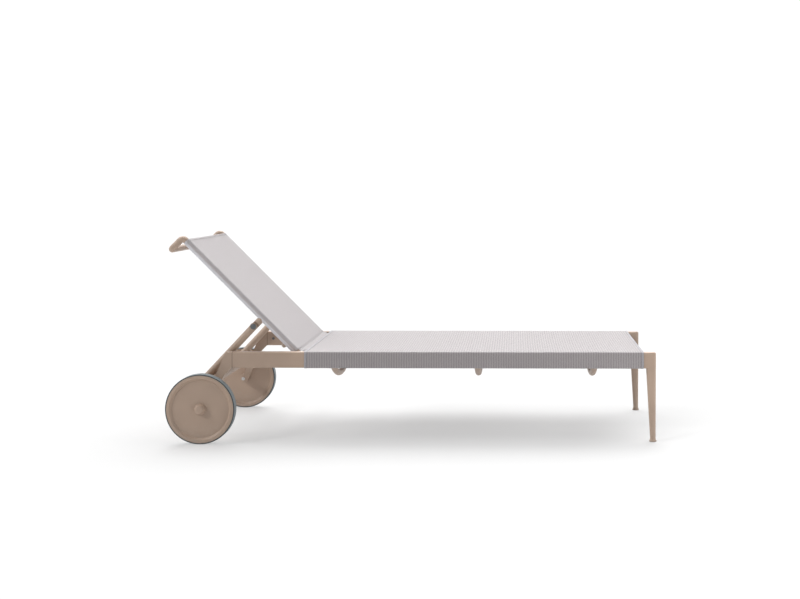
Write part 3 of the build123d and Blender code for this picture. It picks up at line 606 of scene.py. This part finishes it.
def make_sling_mesh(
    name, warp, weft, rib_share, pitch=thread_pitch, rib_pitch=seat_rib_pitch, sleeve=None
):
    """Woven mesh: two thread colours, ribs, unevenness, and sheen of its coated threads.

    The sleeve is the distance across the cloth past which the paler band is painted.
    """
    made, tree, shader = material(name, 0.62, specular=0.35)
    shader.inputs["Sheen Weight"].default_value = 0.12
    shader.inputs["Sheen Roughness"].default_value = 0.4
    uv = tree.nodes.new("ShaderNodeUVMap")
    uv.uv_map = "weave"
    threads = place_group(
        tree, weave, Weave=uv.outputs["UV"], Pitch=pitch, Rib_pitch=rib_pitch
    ).outputs
    shade = scaled(weft, gap_shade)
    colour = blend_colours(tree, threads["Warp on top"], weft, warp)
    # painted shade: darker in the gaps between threads, where the threads are low
    low = maths(tree, "SUBTRACT", 1.0, threads["Height"])
    colour = blend_colours(tree, maths(tree, "MULTIPLY", low, gap_share), colour, shade)
    rib = maths(tree, "MULTIPLY", threads["Rib"], rib_share)
    colour = blend_colours(tree, rib, colour, rib_colour)
    tone = maths(tree, "MULTIPLY", threads["Uneven"], uneven_share)
    colour = blend_colours(tree, tone, colour, shade)
    # paler band past the sleeve distance; on the backrest's sleeves it is painted light from the
    # floor
    if sleeve is not None:
        paler_mask = place_group(tree, paler_band_tree, Weave=uv.outputs["UV"], Edge=sleeve)
        cover = maths(tree, "MULTIPLY", paler_mask.outputs["Paler"], paler_band_share)
        colour = blend_colours(tree, cover, colour, paler_band_colour)
    tree.links.new(colour, shader.inputs["Base Color"])
    rough = between(tree, threads["Height"], 0.2, 1.0, to_low=0.8, to_high=0.52)
    tree.links.new(rough, shader.inputs["Roughness"])
    bump(tree, shader, threads["Height"], depth=0.0006, strength=0.8)
    return made


def make_coat(name, grain, depth, roughness=0.46, dusty=0.0):
    """Taupe powder coat, with its orange peel and, low down, some dust."""
    made, tree, shader = material(name, roughness)
    skin = place_group(tree, coat, Place=on_piece(tree), Grain=grain).outputs
    tone = between(tree, skin["Tone"], 0.3, 0.7)
    shown = blend_colours(tree, tone, scaled(taupe, 0.93), scaled(taupe, 1.06))
    if dusty:
        shown = dusted(tree, shown, reach=0.09, share=dusty, film_colour=paint_dust)
    tree.links.new(shown, shader.inputs["Base Color"])
    gloss = between(tree, skin["Gloss"], 0.25, 0.75, roughness - 0.05, roughness + 0.07)
    tree.links.new(gloss, shader.inputs["Roughness"])
    bump(tree, shader, skin["Height"], depth, strength=0.5)
    return made


def make_tyre_rubber():
    """Dark rubber whose tread is scuffed lighter, with fine moulded lines round the wheel."""
    made, tree, shader = material("tyre_rubber", 0.72)
    place = on_piece(tree, (axle_x, 0.0, axle_z))
    from_axle = parts(tree, place)
    flat = tree.nodes.new("ShaderNodeCombineXYZ")
    tree.links.new(from_axle["X"], flat.inputs["X"])
    tree.links.new(from_axle["Z"], flat.inputs["Z"])
    size = tree.nodes.new("ShaderNodeVectorMath")
    size.operation = "LENGTH"
    tree.links.new(flat.outputs[0], size.inputs[0])
    grit = noise(tree, place, scale=420.0, detail=4.0, roughness=0.65)
    ragged = maths(tree, "MULTIPLY_ADD", grit, scuff_depth, size.outputs["Value"])
    tread = between(tree, ragged, wheel_r - scuff_depth, wheel_r + scuff_end)
    colour = blend_colours(tree, tread, (0.055, 0.070, 0.078), (0.20, 0.225, 0.235))
    colour = dusted(tree, colour, reach=0.05, share=0.35, film_colour=rubber_dust)
    tree.links.new(colour, shader.inputs["Base Color"])
    rough = between(tree, grit, 0.3, 0.7, to_low=0.62, to_high=0.82)
    tree.links.new(rough, shader.inputs["Roughness"])
    turns = maths(tree, "MULTIPLY", from_axle["Y"], 2 * np.pi / tread_line_pitch)
    lines = maths(tree, "MULTIPLY_ADD", maths(tree, "SINE", turns), 0.5, grit)
    bump(tree, shader, lines, depth=0.0003, strength=0.6)
    return made


def make_moulded(name, colour, roughness, dusty=0.0):
    """Moulded plastic or rubber with a fine spark-eroded grain."""
    made, tree, shader = material(name, roughness)
    grain = place_group(tree, moulded, Place=on_piece(tree)).outputs["Grain"]
    shown = blend_colours(tree, grain, scaled(colour, 0.9), scaled(colour, 1.08))
    if dusty:
        shown = dusted(tree, shown, reach=0.012, share=dusty, film_colour=paint_dust)
    tree.links.new(shown, shader.inputs["Base Color"])
    rough = between(tree, grain, 0.3, 0.7, roughness - 0.05, roughness + 0.08)
    tree.links.new(rough, shader.inputs["Roughness"])
    bump(tree, shader, grain, depth=0.00012, strength=0.5)
    return made


def make_turned_metal(name, colour, roughness):
    """Turned metal: fine lines along the fixing's axis direction and small tone changes."""
    made, tree, shader = material(name, roughness, metallic=1.0)
    lines = place_group(tree, turned, Place=on_piece(tree)).outputs["Lines"]
    shown = blend_colours(tree, lines, scaled(colour, 0.85), scaled(colour, 1.1))
    tree.links.new(shown, shader.inputs["Base Color"])
    rough = between(tree, lines, 0.25, 0.75, roughness - 0.08, roughness + 0.12)
    tree.links.new(rough, shader.inputs["Roughness"])
    bump(tree, shader, lines, depth=0.00008, strength=0.4)
    return made


def wear(piece, made):
    """Put a material on a new piece or on a CAD node."""
    piece.data.materials.clear()
    piece.data.materials.append(made)


weave, paler_band_tree = weave_group(), paler_band_group()
coat, dust = coat_group(), dust_group()
moulded, turned = grain_group(), turned_group()

sling_mesh = make_sling_mesh("sling_mesh", (0.43, 0.42, 0.425), (0.23, 0.20, 0.21), rib_share=0.38)
# painted light: the seat sling's mesh in paler colours, standing in for light on the sloping
# backrest
back_mesh_painted_paler = make_sling_mesh(
    "backrest_mesh_painted_paler",
    (0.54, 0.53, 0.54),
    (0.30, 0.27, 0.28),
    rib_share=0.50,
    rib_pitch=back_rib_pitch,
    sleeve=sleeve_edge,
)
crease_mesh = make_sling_mesh(
    "crease_mesh", (0.47, 0.46, 0.465), (0.255, 0.225, 0.235), rib_share=0.38, sleeve=rail_low.y
)
hem_mesh = make_sling_mesh(
    "hem_mesh", (0.50, 0.49, 0.52), (0.36, 0.345, 0.37), rib_share=0.10, pitch=hem_pitch
)
tube_coat = make_coat("tube_powder_coat", grain=900.0, depth=0.00012)
cast_coat = make_coat("cast_powder_coat", grain=520.0, depth=0.00022, roughness=0.50)
wheel_coat = make_coat(
    "wheel_powder_coat", grain=700.0, depth=0.00016, roughness=0.48, dusty=0.25
)
leg_coat = make_coat("leg_powder_coat", grain=800.0, depth=0.00014, roughness=0.47, dusty=0.15)
tyre_rubber = make_tyre_rubber()
glide_plastic = make_moulded("glide_plastic", (0.33, 0.26, 0.21), 0.55, dusty=0.4)
bush_plastic = make_moulded("bush_plastic", (0.70, 0.70, 0.68), 0.5)
stop_rubber = make_moulded("stop_rubber", (0.03, 0.03, 0.03), 0.7)
stainless = make_turned_metal("stainless_steel", (0.60, 0.60, 0.60), 0.32)
blackened = make_turned_metal("blackened_screw", (0.17, 0.18, 0.19), 0.42)
# painted shade: a dark ring for the shadow in the seam where the wheel brackets meet the rails
shadow_gap = make_moulded("shadow_gap", (0.10, 0.075, 0.06), 0.8)

finishes = {
    "tyre": tyre_rubber,
    "wheel_bracket": cast_coat,
    "backrest_knuckle": cast_coat,
    "hinge_bosses": cast_coat,
    "stay_end": cast_coat,
    "stay_lug": cast_coat,
    "recline_stops": cast_coat,
    "wheel_bushes": bush_plastic,
    "wheel": wheel_coat,
    "hub_cap": wheel_coat,
    "leg": leg_coat,
    "foot_glide": glide_plastic,
    "hinge_bushes": bush_plastic,
    "stay_bushes": bush_plastic,
    "keder_rods": bush_plastic,
    "stop_pads": stop_rubber,
    "axle": stainless,
    "cross_tube_inserts": stainless,
    "cross_tube_screws": stainless,
    "hinge_nuts": stainless,
    "hinge_pins": stainless,
    "spigot_screws": blackened,
    "stay_pivot_screws": blackened,
}
for name, node in frame["nodes"].items():
    fits = [start for start in finishes if name.startswith(start)]
    wear(node, finishes[max(fits, key=len)] if fits else tube_coat)


# ------------------------------------------------------------------ slings on their bodies
seat_cloth, seat_path, seat_width = make_seat_sling()
back_cloth, back_width = make_back_sling()
crease_cloth, crease_start, crease_top, crease_length = make_crease_cloth()
head_hem = make_seat_hem(
    "head_hem", seat_path, sling_low.x + hem_width, sling_low.x + hem_inset
)
foot_hem = make_seat_hem(
    "foot_hem", seat_path, sling_high.x - hem_inset, sling_high.x - hem_width
)
top_hem = make_back_hem("top_hem", back_end - hem_inset, back_end - hem_width)

wear(thicken(seat_cloth, cloth), sling_mesh)
wear(thicken(back_cloth, cloth), back_mesh_painted_paler)
wear(thicken(crease_cloth, cloth), crease_mesh)
wear(thicken(top_hem, hem_cloth), back_mesh_painted_paler)
for piece in (head_hem, foot_hem):
    wear(thicken(piece, hem_cloth), hem_mesh)

for word, side in (("left", 1), ("right", -1)):
    seam = make_rail_seam("bracket_seam_" + word, bracket_seam, side)
    wear(seam, shadow_gap)
    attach(seam, "frame")

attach(seat_cloth, "frame")
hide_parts("seat_sling")
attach(back_cloth, "backrest")
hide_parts("backrest_sling")
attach(head_hem, "frame")
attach(foot_hem, "frame")
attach(top_hem, "backrest")
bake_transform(crease_cloth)


# ------------------------------------------------------------------ floor, light, camera
def make_floor():
    """Large square on the floor, with a little light of its own so that its shadows stay pale."""
    half = 40.0
    corners = [[(x, y, 0.0) for x in (-half, half)] for y in (-half, half)]
    floor = surface("floor", np.array(corners))
    paint, tree, shader = material("pale_floor", 0.9, specular=0.0)
    speck = noise(tree, on_piece(tree), 30.0)
    grey = (floor_tone,) * 3
    tone = blend_colours(tree, speck, scaled(grey, 0.995), scaled(grey, 1.005))
    tree.links.new(tone, shader.inputs["Base Color"])
    shader.inputs["Emission Color"].default_value = (1, 1, 1, 1)
    shader.inputs["Emission Strength"].default_value = floor_glow
    wear(floor, paint)


def make_world():
    """Even studio light, weaker from the front, behind a white backdrop."""
    world = bpy.data.worlds.new("studio")
    bpy.context.scene.world = world
    world.use_nodes = True
    tree = world.node_tree
    light = tree.nodes["Background"]
    direction = tree.nodes.new("ShaderNodeTexCoord").outputs["Generated"]
    level = between(tree, parts(tree, direction)["Y"], -0.9, 0.9, front_light, back_light)
    tree.links.new(level, light.inputs["Color"])
    backdrop = tree.nodes.new("ShaderNodeBackground")
    backdrop.inputs["Color"].default_value = (1, 1, 1, 1)
    backdrop.inputs["Strength"].default_value = 1.1
    mix = tree.nodes.new("ShaderNodeMixShader")
    tree.links.new(tree.nodes.new("ShaderNodeLightPath").outputs["Is Camera Ray"], mix.inputs[0])
    tree.links.new(light.outputs[0], mix.inputs[1])
    tree.links.new(backdrop.outputs[0], mix.inputs[2])
    tree.links.new(mix.outputs[0], tree.nodes["World Output"].inputs["Surface"])


def make_lamp(name, towards, power, width):
    """Soft lamp, the same over the whole floor, that shines along a direction."""
    lamp = bpy.data.lights.new(name, "SUN")
    lamp.energy = power
    lamp.angle = np.radians(width)
    holder = bpy.data.objects.new(name, lamp)
    bpy.context.scene.collection.objects.link(holder)
    holder.rotation_euler = Vector(towards).to_track_quat("-Z", "Y").to_euler()
    holder.location = -3.0 * Vector(towards).normalized()


def make_fill():
    """Weak square lamp near the foot end, in front."""
    lamp = bpy.data.lights.new("foot_fill", "AREA")
    lamp.size = 0.9
    lamp.energy = 8.0
    holder = bpy.data.objects.new("foot_fill", lamp)
    bpy.context.scene.collection.objects.link(holder)
    holder.location = (2.1, -1.1, 0.75)
    holder.rotation_euler = Vector((-1.15, 0.8, -0.45)).to_track_quat("-Z", "Y").to_euler()


def make_camera():
    """Long lens at standing height, square to the lounger's side."""
    lens = bpy.data.cameras.new("view")
    lens.lens = 53.94
    lens.sensor_width = 36.0
    lens.shift_x = -0.1286
    lens.shift_y = -0.1404
    camera = bpy.data.objects.new("view", lens)
    bpy.context.scene.collection.objects.link(camera)
    camera.location = (foot_face - 0.5403, -4.904, 0.970)
    camera.rotation_euler = (np.pi / 2, 0.0, 0.0100)
    bpy.context.scene.camera = camera


make_floor()
make_world()
make_lamp("overhead", (0.0, -0.70, -1.0), 3.5, 60.0)
make_lamp("key", (1.0, 0.80, -0.75), 0.85, 9.0)
make_lamp("head_top", (1.0, 0.25, -1.0), 1.0, 30.0)
make_lamp("foot_top", (-1.0, 0.1, -0.6), 0.55, 30.0)
make_fill()
make_camera()
bpy.context.scene.view_settings.view_transform = "Standard"
